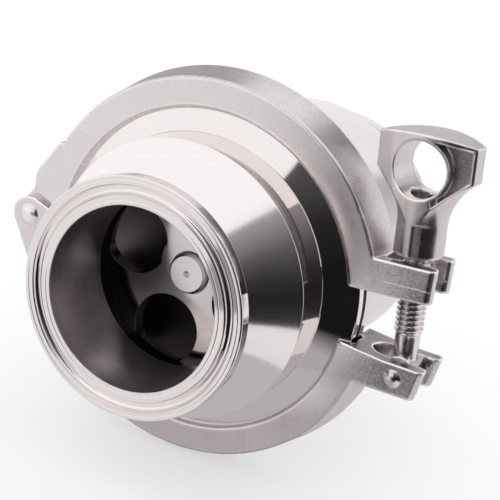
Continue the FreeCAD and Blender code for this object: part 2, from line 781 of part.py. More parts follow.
outline(ears, [
    (-clamp_root + 1.5, ear_shelf),
    (hinge_x + s.ear_radius * 0.36, s.hinge_rise + s.ear_radius * 0.933, s.ear_radius),
    (hinge_x - s.ear_radius * 0.92, s.hinge_rise - s.ear_radius * 0.392),
    (hinge_x + 0.6, s.hinge_rise - 11.8),
    (-clamp_face_outer + 2.0, s.hinge_rise - 18.2),
    (-clamp_root + 1.5, s.hinge_rise - 13.6),
])
pad(clamp_lower_half, ears, "HingeEars", s.clamp_width, backwards=True)
ring_groove(clamp_lower_half)
bolt_slot(clamp_lower_half, (s.slot_width - s.slot_flat) / 2)
room = s.tongue_radius + s.tongue_room
tongue_slot = new_sketch(clamp_lower_half, "TongueSlotOutline", "XZ_Plane",
                         -(clamp_front + s.ear_thickness))
outline(tongue_slot, [
    (hinge_x + room, s.hinge_rise),
    (hinge_x + room + 3, s.hinge_rise),
    (hinge_x + room + 3, s.hinge_rise + room * 2),
    (hinge_x - room * 2, s.hinge_rise + room * 2),
    (hinge_x - room * 2, s.hinge_rise - room),
    (hinge_x, s.hinge_rise - room, room),
])
cut(clamp_lower_half, tongue_slot, "TongueSlot",
    depth=s.clamp_width - s.ear_thickness * 2)
pin_holes = new_sketch(clamp_lower_half, "PinHoleOutline", "XZ_Plane")
ring(pin_holes, hinge_x, s.hinge_rise, s.pin_radius)
ring(pin_holes, bolt_x, -s.pivot_drop, s.pin_radius)
cut(clamp_lower_half, pin_holes, "PinHoles")
dress(clamp_lower_half, "LugCorners", "PartDesign::Fillet",
      lambda edge: lug_corners(edge, lower_end.value - 2.2), s.lug_corner)


# Rivets with domed heads
def rivet(label, across, up, front, back, head):
    body = new_body(label)
    dome = (head * head + s.head_height * s.head_height) / (s.head_height * 2)
    section = new_sketch(body, "RivetProfile", "YZ_Plane")
    outline(section, [
        (front - s.head_height, 0, -dome),
        (front, head),
        (front, s.pin_radius),
        (back, s.pin_radius),
        (back, head, -dome),
        (back + s.head_height, 0),
    ])
    revolve(body, section, "RivetFormed", "H_Axis")
    body.Placement = FreeCAD.Placement(
        FreeCAD.Vector(across.value, 0, up.value), FreeCAD.Rotation())
    body.setExpression("Placement.Base.x", across.text)
    body.setExpression("Placement.Base.z", up.text)
    return body


hinge_rivet = rivet("hinge_rivet", hinge_x, s.hinge_rise, clamp_front, clamp_back, s.hinge_head_radius)
bolt_pivot_rivet = rivet("bolt_pivot_rivet", bolt_x, -s.pivot_drop, clamp_front, lug_back, s.head_radius)


def on_bolt_axis(body, along, turn):
    # Places a body whose own Z axis is the leaning bolt's axis
    across = bolt_x - along * sine(s.bolt_lean)
    up = along * cosine(s.bolt_lean) - s.pivot_drop
    spot = FreeCAD.Vector(across.value, lug_middle.value, up.value)
    tilt = FreeCAD.Rotation(FreeCAD.Vector(0, -1, 0), s.bolt_lean.value)
    body.Placement = FreeCAD.Placement(spot, tilt * FreeCAD.Rotation(FreeCAD.Vector(0, 0, -1), turn.value))
    body.setExpression("Placement", (
        "placement(vector(%s; %s; %s); rotation(vector(0; -1; 0); %s) * rotation(vector(0; 0; -1); %s))"
        % (across.text, lug_middle.text, up.text, s.bolt_lean.text, turn.text)))


# Swing bolt: eye, plain shank and threaded end
swing_bolt = new_body("swing_bolt")
profile = new_sketch(swing_bolt, "ShankProfile", "XZ_Plane")
outline(profile, [
    (0, 0),
    (s.shank_radius, 0),
    (s.shank_radius, s.thread_start),
    (s.thread_radius, s.thread_start + s.stem_chamfer),
    (s.thread_radius, s.bolt_length - 1),
    (s.thread_radius - 1, s.bolt_length),
    (0, s.bolt_length),
])
revolve(swing_bolt, profile, "Shank", "V_Axis")
eye = new_sketch(swing_bolt, "EyeOutline", "XZ_Plane")
ring(eye, 0, 0, s.eye_radius)
pad(swing_bolt, eye, "Eye", s.slot_width - s.eye_clearance * 2, middle=True)
eye_hole = new_sketch(swing_bolt, "EyeHoleOutline", "XZ_Plane")
ring(eye_hole, 0, 0, s.pin_radius + s.pin_clearance)
cut(swing_bolt, eye_hole, "EyeHole", middle=True)
on_bolt_axis(swing_bolt, as_size(0), as_size(0))

# Wing nut: lens-shaped casting with a finger hole, flared down to a round column for the bolt
wing_nut = new_body("wing_nut")
half_mid = s.nut_thickness / 2
half_tip = s.nut_tip_thickness / 2
ring_centre = s.nut_ring_height
waist = ring_centre - s.nut_waist_drop
tip_foot = ring_centre - s.nut_tip_foot
bulge = half_mid - half_tip
plan_radius = (s.nut_half_span * s.nut_half_span + bulge * bulge) / (bulge * 2)
plan = new_sketch(wing_nut, "PlanOutline", "XY_Plane")
outline(plan, [
    (-s.nut_half_span, -half_tip, plan_radius),
    (s.nut_half_span, -half_tip),
    (s.nut_half_span, half_tip, plan_radius),
    (-s.nut_half_span, half_tip),
])
pad(wing_nut, plan, "Blank", ring_centre + s.nut_crest)

# The crest is domed from wing tip to wing tip
crest_rise = s.nut_crest - s.nut_tip_crest
crest_radius = (s.nut_half_span * s.nut_half_span + crest_rise * crest_rise) / (crest_rise * 2)
clear = s.nut_half_span + 4
crest = new_sketch(wing_nut, "CrestOutline", "XZ_Plane")
outline(crest, [
    (s.nut_half_span, ring_centre + s.nut_tip_crest, crest_radius),
    (-s.nut_half_span, ring_centre + s.nut_tip_crest),
    (-clear, ring_centre + s.nut_tip_crest),
    (-clear, ring_centre + s.nut_crest + 2),
    (clear, ring_centre + s.nut_crest + 2),
    (clear, ring_centre + s.nut_tip_crest),
])
cut(wing_nut, crest, "Crest", middle=True)

# The wings' undersides flare out of the column as one turned surface
flare = new_sketch(wing_nut, "FlareProfile", "XZ_Plane")
outline(flare, [
    (s.nut_skirt_radius, waist, -s.nut_flare),
    (s.nut_half_span + 0.2, tip_foot),
    (clear, tip_foot),
    (clear, -1),
    (s.nut_skirt_radius - s.edge_break, -1),
    (s.nut_skirt_radius - s.edge_break, 0),
    (s.nut_skirt_radius, s.edge_break),
])
before = volume_of(wing_nut)
revolve(wing_nut, flare, "Flare", "V_Axis", kind="PartDesign::Groove")
if not volume_of(wing_nut) < before:
    raise RuntimeError("the nut's flare removed nothing")

hole = new_sketch(wing_nut, "HoleOutline", "XZ_Plane")
ring(hole, 0, ring_centre, s.nut_hole_radius)
cut(wing_nut, hole, "FingerHole", middle=True)

bolt_bore = new_sketch(wing_nut, "BoreOutline", "XY_Plane")
ring(bolt_bore, 0, 0, s.thread_radius + s.nut_bore_clearance)
cut(wing_nut, bolt_bore, "BoltBore", depth=ring_centre, backwards=True)

# The casting's hollow runs down one side of the column, its twin down the other side
shift = s.nut_skirt_radius - s.nut_cast_radius
hollow_x = shift * cosine(s.nut_cast_turn)
hollow_y = -shift * sine(s.nut_cast_turn)
run_out_x = s.nut_skirt_radius * cosine(s.nut_cast_turn)
run_out_y = -s.nut_skirt_radius * sine(s.nut_cast_turn)
reach = hollow_x - s.nut_cast_edge
hollow = new_sketch(wing_nut, "CastHollowOutline", "XY_Plane")
hollow_step = hollow_y - root(s.nut_cast_radius * s.nut_cast_radius - reach * reach)
outline(hollow, [
    (s.nut_cast_edge, hollow_step, s.nut_cast_radius),
    (run_out_x, run_out_y),
    (run_out_x * 1.3, run_out_y * 1.3),
    (run_out_x * 1.3, -half_mid - 2),
    (s.nut_cast_edge, -half_mid - 2),
])
cast_hollow = cut(wing_nut, hollow, "CastHollow", depth=waist, backwards=True)
pattern = wing_nut.newObject("PartDesign::PolarPattern", "CastHollows")
pattern.Originals = [cast_hollow]
pattern.Axis = (base_plane(wing_nut, "Z_Axis"), [""])
pattern.Angle = 360
pattern.Occurrences = 2
wing_nut.Tip = pattern
doc.recompute()

# One panel is sunk into the front of the right wing, its twin into the back of the left
rim_radius = s.nut_hole_radius + s.nut_hole_rim
panel_side = s.nut_half_span - s.nut_rim
panel = new_sketch(wing_nut, "PanelOutline", "XZ_Plane", s.nut_web / 2)
outline(panel, [
    (rim_radius * 0.5, ring_centre - rim_radius * 0.866, rim_radius),
    (rim_radius * 0.5, ring_centre + rim_radius * 0.866),
    (rim_radius * 0.51, ring_centre + s.nut_crest - s.nut_rim * 1.6),
    (panel_side, ring_centre + s.nut_tip_crest - s.nut_rim),
    (panel_side, tip_foot + s.nut_rim * 0.25),
    (s.nut_half_span * 0.746, ring_centre - s.nut_waist_drop * 0.266),
    (s.nut_half_span * 0.543, ring_centre - s.nut_waist_drop * 0.436),
    (s.nut_half_span * 0.406, ring_centre - s.nut_waist_drop * 0.567),
    (s.nut_half_span * 0.333, ring_centre - s.nut_waist_drop * 0.638),
])
sunk = cut(wing_nut, panel, "Panel", depth=half_mid, backwards=True)
pattern = wing_nut.newObject("PartDesign::PolarPattern", "Panels")
pattern.Originals = [sunk]
pattern.Axis = (base_plane(wing_nut, "Z_Axis"), [""])
pattern.Angle = 360
pattern.Occurrences = 2
wing_nut.Tip = pattern
doc.recompute()
on_bolt_axis(wing_nut, s.nut_base, s.nut_turn)

# Every object is sound before anything is written
doc.recompute()
for item in doc.Objects:
    if "Invalid" in item.State or "Error" in item.State:
        raise RuntimeError("%s failed: %s" % (item.Name, item.State))

pieces = [
    outlet_body, inlet_body, body_gasket, guide_plate, valve_plug, plug_seal_ring,
    plug_stem, closing_spring, clamp_upper_half, clamp_lower_half, hinge_rivet,
    swing_bolt, bolt_pivot_rivet, wing_nut,
]
for piece in pieces:
    if piece.Shape.isNull() or not piece.Shape.isValid():
        raise RuntimeError("%s has no sound shape" % piece.Label)

os.makedirs("parts", exist_ok=True)
for piece in pieces:
    piece.Shape.exportStep("parts/%s.step" % piece.Label)
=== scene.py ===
import math

import bmesh
import bpy
from mathutils import Matrix, Vector


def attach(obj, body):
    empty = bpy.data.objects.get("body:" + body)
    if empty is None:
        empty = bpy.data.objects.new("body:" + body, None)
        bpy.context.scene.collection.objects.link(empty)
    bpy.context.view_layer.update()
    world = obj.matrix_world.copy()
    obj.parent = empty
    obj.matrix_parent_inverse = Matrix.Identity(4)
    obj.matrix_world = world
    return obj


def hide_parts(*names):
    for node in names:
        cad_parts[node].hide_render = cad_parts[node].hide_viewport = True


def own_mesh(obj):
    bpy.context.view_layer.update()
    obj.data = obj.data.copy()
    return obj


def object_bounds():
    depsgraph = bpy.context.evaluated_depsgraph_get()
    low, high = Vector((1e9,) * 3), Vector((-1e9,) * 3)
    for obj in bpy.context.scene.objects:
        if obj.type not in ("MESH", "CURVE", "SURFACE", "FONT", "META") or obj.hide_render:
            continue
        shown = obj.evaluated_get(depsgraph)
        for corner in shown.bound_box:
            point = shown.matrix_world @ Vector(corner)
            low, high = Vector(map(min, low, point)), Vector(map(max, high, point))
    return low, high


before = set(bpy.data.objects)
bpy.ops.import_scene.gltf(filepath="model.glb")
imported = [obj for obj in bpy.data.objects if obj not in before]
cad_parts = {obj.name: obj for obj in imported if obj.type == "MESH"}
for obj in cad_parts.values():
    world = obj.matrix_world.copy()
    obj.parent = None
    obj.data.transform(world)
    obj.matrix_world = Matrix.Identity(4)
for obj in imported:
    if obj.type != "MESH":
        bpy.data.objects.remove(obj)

cad_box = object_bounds()

MM = 0.001
FULL_TURN = 2 * math.pi

# Camera at the photograph's viewing angle: focal length in mm on a 36 mm sensor, place and axes
FOCAL_LENGTH = 106.062
SENSOR_WIDTH = 36.0
CAMERA_PLACE = Vector((171.46, -302.49, 131.58)) * MM
CAMERA_RIGHT = Vector((0.87532, 0.46036, 0.14793))
CAMERA_UP = Vector((-0.27076, 0.21315, 0.93875))
CAMERA_BACK = Vector((0.40063, -0.86176, 0.31122))


def make_camera():
    data = bpy.data.cameras.new("photo_view")
    data.sensor_fit = "HORIZONTAL"
    data.sensor_width = SENSOR_WIDTH
    data.lens = FOCAL_LENGTH
    data.clip_start = 0.01
    data.clip_end = 20.0
    camera = bpy.data.objects.new("photo_view", data)
    bpy.context.collection.objects.link(camera)
    turn = Matrix((CAMERA_RIGHT, CAMERA_UP, CAMERA_BACK)).transposed().to_4x4()
    camera.matrix_world = Matrix.Translation(CAMERA_PLACE) @ turn
    bpy.context.scene.camera = camera


make_camera()
bpy.context.scene.view_settings.view_transform = "Standard"


# A material's node tree, with short names for the nodes that the looks are made of
class Tree:
    def __init__(self, name):
        self.material = bpy.data.materials.new(name)
        self.material.use_nodes = True
        self.nodes = self.material.node_tree.nodes
        self.links = self.material.node_tree.links
        self.shader = self.nodes["Principled BSDF"]
        self.round_off = None

    def add(self, kind, **values):
        node = self.nodes.new(kind)
        for key, value in values.items():
            setattr(node, key, value)
        return node

    def feed(self, source, target):
        if isinstance(source, (int, float)):
            target.default_value = source
        else:
            self.links.new(source, target)

    def set(self, **values):
        # Constants of the shader, such as Base_Color for Base Color
        for key, value in values.items():
            self.shader.inputs[key.replace("_", " ")].default_value = value

    def math(self, operation, a, b=None, c=None):
        node = self.add("ShaderNodeMath", operation=operation)
        for index, item in enumerate((a, b, c)):
            if item is not None:
                self.feed(item, node.inputs[index])
        return node.outputs[0]

    def above(self, value, limit):
        return self.math("GREATER_THAN", value, limit)

    def below(self, value, limit):
        return self.math("LESS_THAN", value, limit)

    def within(self, value, low, high):
        # Whether a length lies between two lengths in millimetres
        return self.both(self.above(value, low * MM), self.below(value, high * MM))

    def both(self, *shares):
        result = shares[0]
        for share in shares[1:]:
            result = self.math("MULTIPLY", result, share)
        return result

    def either(self, *shares):
        result = shares[0]
        for share in shares[1:]:
            result = self.math("MAXIMUM", result, share)
        return result

    def weigh(self, first, first_share, second, second_share):
        return self.math("ADD", self.math("MULTIPLY", first, first_share),
                         self.math("MULTIPLY", second, second_share))

    def length(self, a, b):
        squares = self.math("ADD", self.math("MULTIPLY", a, a), self.math("MULTIPLY", b, b))
        return self.math("SQRT", squares)

    def place(self):
        return self.add("ShaderNodeTexCoord").outputs["Object"]

    def split(self, vector):
        node = self.add("ShaderNodeSeparateXYZ")
        self.feed(vector, node.inputs[0])
        return node.outputs

    def along(self, vector, axis):
        node = self.add("ShaderNodeVectorMath", operation="DOT_PRODUCT")
        self.feed(vector, node.inputs[0])
        node.inputs[1].default_value = axis
        return node.outputs["Value"]

    def own_normal(self):
        # The face's direction in the piece's own axes, so it holds when the piece turns
        geometry = self.add("ShaderNodeNewGeometry")
        node = self.add("ShaderNodeVectorTransform", vector_type="NORMAL",
                        convert_from="WORLD", convert_to="OBJECT")
        self.feed(geometry.outputs["True Normal"], node.inputs[0])
        return node.outputs[0]

    def noise(self, vector, scale, detail=2.0, rough=0.5):
        node = self.add("ShaderNodeTexNoise")
        node.inputs["Scale"].default_value = scale
        node.inputs["Detail"].default_value = detail
        node.inputs["Roughness"].default_value = rough
        self.feed(vector, node.inputs["Vector"])
        return node.outputs["Fac"]

    def spread(self, value, low, high, out_low=0.0, out_high=1.0):
        node = self.add("ShaderNodeMapRange")
        self.feed(value, node.inputs["Value"])
        node.inputs["From Min"].default_value = low
        node.inputs["From Max"].default_value = high
        self.feed(out_low, node.inputs["To Min"])
        self.feed(out_high, node.inputs["To Max"])
        return node.outputs["Result"]

    def blend(self, share, first, second):
        # A number between two numbers or sockets
        node = self.add("ShaderNodeMix", data_type="FLOAT")
        self.feed(share, node.inputs["Factor"])
        self.feed(first, node.inputs["A"])
        self.feed(second, node.inputs["B"])
        return node.outputs["Result"]

    def tint(self, share, first, second):
        # A colour between two colours or sockets
        node = self.add("ShaderNodeMix", data_type="RGBA")
        self.feed(share, node.inputs["Factor"])
        for item, socket in ((first, node.inputs["A"]), (second, node.inputs["B"])):
            if isinstance(item, tuple):
                socket.default_value = (*item, 1.0)
            else:
                self.links.new(item, socket)
        return node.outputs["Result"]

    def broken_edges(self, radius):
        # A small round on every sharp corner of the solid, and how far it turns the face
        self.round_off = self.add("ShaderNodeBevel", samples=8)
        self.round_off.inputs["Radius"].default_value = radius
        geometry = self.add("ShaderNodeNewGeometry")
        node = self.add("ShaderNodeVectorMath", operation="DOT_PRODUCT")
        self.feed(self.round_off.outputs["Normal"], node.inputs[0])
        self.feed(geometry.outputs["Normal"], node.inputs[1])
        flat, turned = 0.996, 0.93
        return self.spread(node.outputs["Value"], flat, turned)

    def bump(self, height, strength, distance):
        node = self.add("ShaderNodeBump")
        node.inputs["Strength"].default_value = strength
        node.inputs["Distance"].default_value = distance
        self.feed(height, node.inputs["Height"])
        if self.round_off:
            self.feed(self.round_off.outputs["Normal"], node.inputs["Normal"])
        self.feed(node.outputs["Normal"], self.shader.inputs["Normal"])

    def metal(self, colour, gloss):
        self.feed(colour, self.shader.inputs["Base Color"])
        self.feed(gloss, self.shader.inputs["Roughness"])
        self.set(Metallic=1.0)

    def lathe_rings(self, place):
        # Distance from the valve axis and place along it: noise over these gives turning marks
        x, y, z = self.split(place)
        join = self.add("ShaderNodeCombineXYZ")
        self.feed(self.length(x, z), join.inputs[0])
        self.feed(y, join.inputs[1])
        return join.outputs[0]

    def brush_round(self, aniso):
        # Stretches reflections across marks that run round the valve axis
        self.set(Anisotropic=aniso, Anisotropic_Rotation=0.25)
        tangent = self.add("ShaderNodeTangent", direction_type="RADIAL", axis="Y")
        self.feed(tangent.outputs[0], self.shader.inputs["Tangent"])


# Depth of the height that each surface's bump stands for, in metres
TURNED_DEPTH = 0.00001
CAST_DEPTH = 0.00008
NUT_DEPTH = 0.00012
GROOVE_MOTTLE_DEPTH = 0.00002
RUBBER_MOTTLE_DEPTH = 0.00003


def turned_steel(name, light, dark, rough, marks, aniso=0.0, edge=0.0, bore_shade_tone=None, stains=1.0):
    # Turned round the valve axis; surfaces that face that axis can take a darker tone, painted shade
    # inside the bore
    tree = Tree(name)
    place = tree.place()
    rings = tree.lathe_rings(place)
    fine = tree.noise(rings, 5200.0, 3.0, 0.6)
    broad = tree.noise(rings, 1300.0, 2.0, 0.5)
    stain = tree.noise(place, 60.0, 3.0, 0.55)
    mix = tree.weigh(fine, 0.6, broad, 0.4)
    tone = tree.weigh(mix, 1.0 - 0.3 * stains, stain, 0.3 * stains)
    colour = tree.tint(tree.spread(tone, 0.3, 0.7), dark, light)
    if bore_shade_tone:
        flat = tree.add("ShaderNodeVectorMath", operation="MULTIPLY")
        tree.feed(place, flat.inputs[0])
        flat.inputs[1].default_value = (1.0, 0.0, 1.0)
        reach = tree.add("ShaderNodeVectorMath", operation="DOT_PRODUCT")
        tree.feed(flat.outputs[0], reach.inputs[0])
        tree.feed(tree.own_normal(), reach.inputs[1])
        # Painted shade: faces that look towards the axis take the darker tone
        inward = tree.below(reach.outputs["Value"], -4 * MM)
        colour = tree.tint(inward, colour, bore_shade_tone)
    tree.metal(colour, tree.spread(mix, 0.25, 0.75, rough * 0.75, rough * 1.25))
    tree.brush_round(aniso)
    if edge:
        tree.broken_edges(edge)
    tree.bump(mix, marks, TURNED_DEPTH)
    return tree.material


def brushed_cone(name):
    # The cone keeps its turning marks as fine bright and dark rings
    tree = Tree(name)
    rings = tree.lathe_rings(tree.place())
    fine = tree.noise(rings, 6500.0, 3.0, 0.65)
    broad = tree.noise(rings, 2300.0, 3.0, 0.65)
    mix = tree.weigh(fine, 0.5, broad, 0.5)
    colour = tree.tint(tree.spread(mix, 0.34, 0.66), (0.91, 0.86, 0.855), (0.97, 0.92, 0.915))
    tree.metal(colour, tree.spread(mix, 0.3, 0.7, 0.09, 0.19))
    tree.brush_round(0.4)
    tree.bump(mix, 0.14, TURNED_DEPTH)
    return tree.material


def darker(colour, share):
    return tuple(channel * share for channel in colour)


def cast_steel(name, light, dark, rough, grain, front=0.65, edge=0.0012, ridge=None, cast_skin_and_painted_light=None):
    # Blasted casting; faces square to the valve axis are rubbed to a satin finish, by front smoother
    tree = Tree(name)
    place = tree.place()
    x, y, z = tree.split(place)
    peen = tree.noise(place, 2600.0, 3.0, 0.6)
    swell = tree.noise(place, 330.0, 2.0, 0.5)
    stain = tree.noise(place, 70.0, 4.0, 0.6)
    speckle = tree.noise(place, 2300.0, 2.0, 0.7)
    normal = tree.split(tree.own_normal())
    satin = tree.spread(tree.math("ABSOLUTE", normal[1]), 0.9, 0.97)
    mix = tree.weigh(peen, 0.7, swell, 0.3)
    share = tree.spread(tree.weigh(stain, 0.4, speckle, 0.6), 0.38, 0.62)
    blasted = tree.tint(share, darker(dark, 0.78), darker(light, 0.92))
    # The lugs are rubbed less evenly than the ring
    lug = tree.spread(x, 45 * MM, 54 * MM)
    low_tone = tree.tint(lug, dark, darker(dark, 0.75))
    patches = tree.spread(share, 0.0, 1.0, tree.blend(lug, 0.3, -0.2), tree.blend(lug, 0.85, 1.4))
    rubbed = tree.tint(patches, low_tone, light)
    colour = tree.tint(satin, blasted, rubbed)
    matt = tree.spread(stain, 0.3, 0.7, rough * 0.85, rough * 1.2)
    gloss = tree.blend(satin, matt, tree.math("MULTIPLY", matt, front))
    if cast_skin_and_painted_light:
        # Painted shade: a dark speckled tone where a lug's top looks up at what stands over it
        from_x, lowest_z = cast_skin_and_painted_light
        skin = tree.both(tree.above(normal[2], 0.8),
                         tree.above(x, from_x * MM), tree.above(z, lowest_z * MM))
        colour = tree.tint(skin, colour, tree.tint(share, (0.11, 0.10, 0.105), (0.38, 0.35, 0.355)))
    if edge:
        # Edges worn bright, partly real wear and partly a painted highlight
        wear_and_highlight = tree.broken_edges(edge)
        colour = tree.tint(wear_and_highlight, colour, (0.99, 0.94, 0.94))
        gloss = tree.blend(wear_and_highlight, gloss, 0.14)
    tree.metal(colour, gloss)
    height = tree.math("MULTIPLY", mix, tree.blend(satin, 1.0, tree.blend(lug, 0.12, 0.32)))
    if ridge:
        # Parting line of the mould along the lug
        at_axis, slope, from_x = ridge
        off = tree.math("SUBTRACT", z, tree.math("MULTIPLY_ADD", x, slope, at_axis * MM))
        line = tree.spread(tree.math("ABSOLUTE", off), 0.0, 0.22 * MM, 1.0, 0.0)
        line = tree.both(line, tree.above(x, from_x * MM))
        height = tree.math("ADD", height, tree.math("MULTIPLY", line, 1.5))
    tree.bump(height, grain, CAST_DEPTH)
    return tree.material


# The wing nut's own axes, from its leaning bolt and its turn about it
LEAN = math.radians(3.8)
NUT_TURN = math.radians(7.0)
PIVOT = Vector((60.45, 42.2, -12.2)) * MM
BOLT_AXIS = Vector((-math.sin(LEAN), 0.0, math.cos(LEAN)))
BOLT_SIDE = Vector((math.cos(LEAN), 0.0, math.sin(LEAN)))
DEPTH = Vector((0.0, 1.0, 0.0))
NUT_X = BOLT_SIDE * math.cos(NUT_TURN) - DEPTH * math.sin(NUT_TURN)
NUT_Y = BOLT_SIDE * math.sin(NUT_TURN) + DEPTH * math.cos(NUT_TURN)
NUT_BASE = PIVOT + BOLT_AXIS * (31.9 * MM)
NUT_HOLE_HEIGHT = 23.0


def nut_steel(name):
    # Polished wings, rough as cast in the sunk panels and in the hollow of the column
    tree = Tree(name)
    place = tree.place()
    shift = tree.add("ShaderNodeVectorMath", operation="SUBTRACT")
    tree.feed(place, shift.inputs[0])
    shift.inputs[1].default_value = NUT_BASE
    across, depth, up = (tree.along(shift.outputs[0], axis) for axis in (NUT_X, NUT_Y, BOLT_AXIS))
    normal = tree.own_normal()
    facing = tree.math("ABSOLUTE", tree.along(normal, NUT_Y))
    from_axis = tree.length(across, depth)
    from_hole = tree.length(across, tree.math("SUBTRACT", up, NUT_HOLE_HEIGHT * MM))
    panel = tree.both(tree.below(tree.math("ABSOLUTE", depth), 2.55 * MM),
                      tree.below(tree.math("ABSOLUTE", across), 12.95 * MM), tree.above(facing, 0.9))
    hollow = tree.both(tree.within(from_axis, 4.2, 6.35), tree.within(up, 0.05, 9.1))
    # The hollow's rough dark skin fades out up the flare as painted shade, and the panels' walls round
    # the hole are rough too, with a lighter tone that is painted light
    flare_painted_shade = tree.both(
        tree.spread(up, 8.8 * MM, 13.5 * MM, 0.85, 0.0), tree.above(up, 9.0 * MM),
        tree.spread(across, 0.2 * MM, 1.6 * MM), tree.spread(across, 2.6 * MM, 5.0 * MM, 1.0, 0.0),
        tree.below(depth, 0.0))
    # Painted light: the walls round the hole take a tone lighter than the polished wings
    wall = tree.both(tree.within(from_hole, 7.8, 8.35), tree.below(facing, 0.6))
    cast_skin_and_painted_light = tree.either(panel, flare_painted_shade, hollow, wall)
    crown = tree.both(tree.above(tree.along(normal, BOLT_AXIS), 0.85), tree.above(up, 26.0 * MM))

    peen = tree.noise(place, 2000.0, 3.0, 0.7)
    swell = tree.noise(place, 380.0, 2.0, 0.5)
    stain = tree.noise(place, 90.0, 3.0, 0.6)
    mix = tree.weigh(peen, 0.65, swell, 0.35)
    share = tree.spread(tree.weigh(stain, 0.5, peen, 0.5), 0.35, 0.65)
    polished = tree.tint(share, (0.62, 0.575, 0.58), (0.78, 0.73, 0.73))
    blasted = tree.tint(share, (0.40, 0.365, 0.38), (0.57, 0.52, 0.535))
    as_cast = tree.tint(share, (0.14, 0.12, 0.14), (0.56, 0.51, 0.54))
    wall_painted_light = tree.tint(share, (0.45, 0.41, 0.43), (0.97, 0.90, 0.92))
    colour = tree.tint(cast_skin_and_painted_light, tree.tint(crown, polished, blasted), tree.tint(wall, as_cast, wall_painted_light))
    smooth = tree.blend(crown, tree.spread(stain, 0.3, 0.7, 0.2, 0.3), 0.36)

    # Edges are worn bright, partly real wear and partly a painted highlight, though hardly in the hollow
    cup = tree.both(tree.below(from_axis, 6.5 * MM), tree.within(up, 0.8, 10.5))
    wear_and_highlight = tree.both(tree.broken_edges(0.0011), tree.spread(cup, 0.0, 1.0, 1.0, 0.25))
    tree.metal(tree.tint(wear_and_highlight, colour, (0.97, 0.92, 0.92)),
               tree.blend(wear_and_highlight, tree.blend(cast_skin_and_painted_light, smooth, 0.46), 0.16))
    tree.bump(tree.math("MULTIPLY", mix, tree.blend(cast_skin_and_painted_light, 0.12, 1.0)), 0.9, NUT_DEPTH)
    return tree.material


def shaded_groove(name):
    # Undercut behind the bore's edge, painted near black as shade
    tree = Tree(name)
    mottle = tree.noise(tree.place(), 500.0, 3.0, 0.6)
    tree.metal(tree.tint(mottle, (0.02, 0.019, 0.019), (0.045, 0.042, 0.042)), 0.45)
    tree.bump(mottle, 0.2, GROOVE_MOTTLE_DEPTH)
    return tree.material


def rubber(name):
    tree = Tree(name)
    mottle = tree.noise(tree.place(), 900.0, 3.0, 0.6)
    tree.feed(tree.tint(mottle, (0.012, 0.012, 0.013), (0.03, 0.03, 0.031)),
              tree.shader.inputs["Base Color"])
    tree.set(Roughness=0.6)
    tree.bump(mottle, 0.3, RUBBER_MOTTLE_DEPTH)
    return tree.material


POLISHED = turned_steel("polished_steel", (0.93, 0.875, 0.87), (0.85, 0.795, 0.79),
                        rough=0.06, marks=0.08, aniso=0.2)
BORED = turned_steel("bored_steel", (0.97, 0.91, 0.905), (0.52, 0.48, 0.475),
                     rough=0.34, marks=0.05, stains=2.2)
CONE = brushed_cone("brushed_cone")
UNDERCUT_SHADE = shaded_groove("shaded_groove")
INLET = turned_steel("turned_steel", (0.86, 0.81, 0.81), (0.75, 0.70, 0.705),
                     rough=0.13, marks=0.1, aniso=0.3, edge=0.0002, bore_shade_tone=(0.60, 0.575, 0.57))
PLATE = turned_steel("plate_steel", (0.78, 0.73, 0.725), (0.56, 0.52, 0.515),
                     rough=0.13, marks=0.05, edge=0.0002, stains=1.8)
PLUG = turned_steel("plug_steel", (0.62, 0.60, 0.59), (0.46, 0.44, 0.435),
                    rough=0.3, marks=0.12, aniso=0.3)
STEM = turned_steel("stem_steel", (1.0, 0.95, 0.945), (0.70, 0.655, 0.65),
                    rough=0.26, marks=0.8, edge=0.0002)
# Both halves get painted shade on lug tops that look up at the lug or nut above
# raw = (from x, lowest z) and ridge = (height at x = 0, slope, from x), in millimetres
# The lower half has darker tones than the upper half, as painted shade
CAST = cast_steel("cast_steel", (0.85, 0.79, 0.795), (0.68, 0.63, 0.635),
                  rough=0.29, grain=0.4, cast_skin_and_painted_light=(44.0, -10.0))
CAST_UPPER = cast_steel("cast_steel_upper", (0.90, 0.84, 0.845), (0.74, 0.69, 0.695),
                        rough=0.29, grain=0.4, ridge=(9.7, 0.052, 53.0), cast_skin_and_painted_light=(53.5, 10.0))
NUT = nut_steel("nut_steel")
BOLT = cast_steel("bolt_steel", (0.98, 0.92, 0.91), (0.80, 0.75, 0.74),
                  rough=0.2, grain=0.15, front=1.0, edge=0.0)
RIVET = cast_steel("rivet_steel", (0.98, 0.95, 0.94), (0.84, 0.81, 0.80),
                   rough=0.2, grain=0.1, front=1.0, edge=0.0001)
RUBBER = rubber("dark_rubber")

LOOKS = {
    "outlet_body": POLISHED, "inlet_body": INLET, "guide_plate": PLATE,
    "valve_plug": PLUG, "plug_stem": STEM, "closing_spring": BOLT,
    "clamp_upper_half": CAST_UPPER, "clamp_lower_half": CAST, "wing_nut": NUT,
    "hinge_rivet": RIVET, "bolt_pivot_rivet": RIVET, "swing_bolt": BOLT,
    "body_gasket": RUBBER, "plug_seal_ring": RUBBER,
}
for node, material in LOOKS.items():
    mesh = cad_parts[node].data
    mesh.materials.clear()
    mesh.materials.append(material)


# Pieces with more detail than their solids
def add_piece(name, mesh, body, slot, *nodes):
    mesh.shade_smooth()
    mesh.set_sharp_from_angle(angle=math.radians(38))
    piece = bpy.data.objects.new(name, mesh)
    bpy.context.collection.objects.link(piece)
    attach(piece, body)
    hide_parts(*nodes)
    return piece


def to_mesh(name, built):
    mesh = bpy.data.meshes.new(name)
    built.to_mesh(mesh)
    built.free()
    return mesh


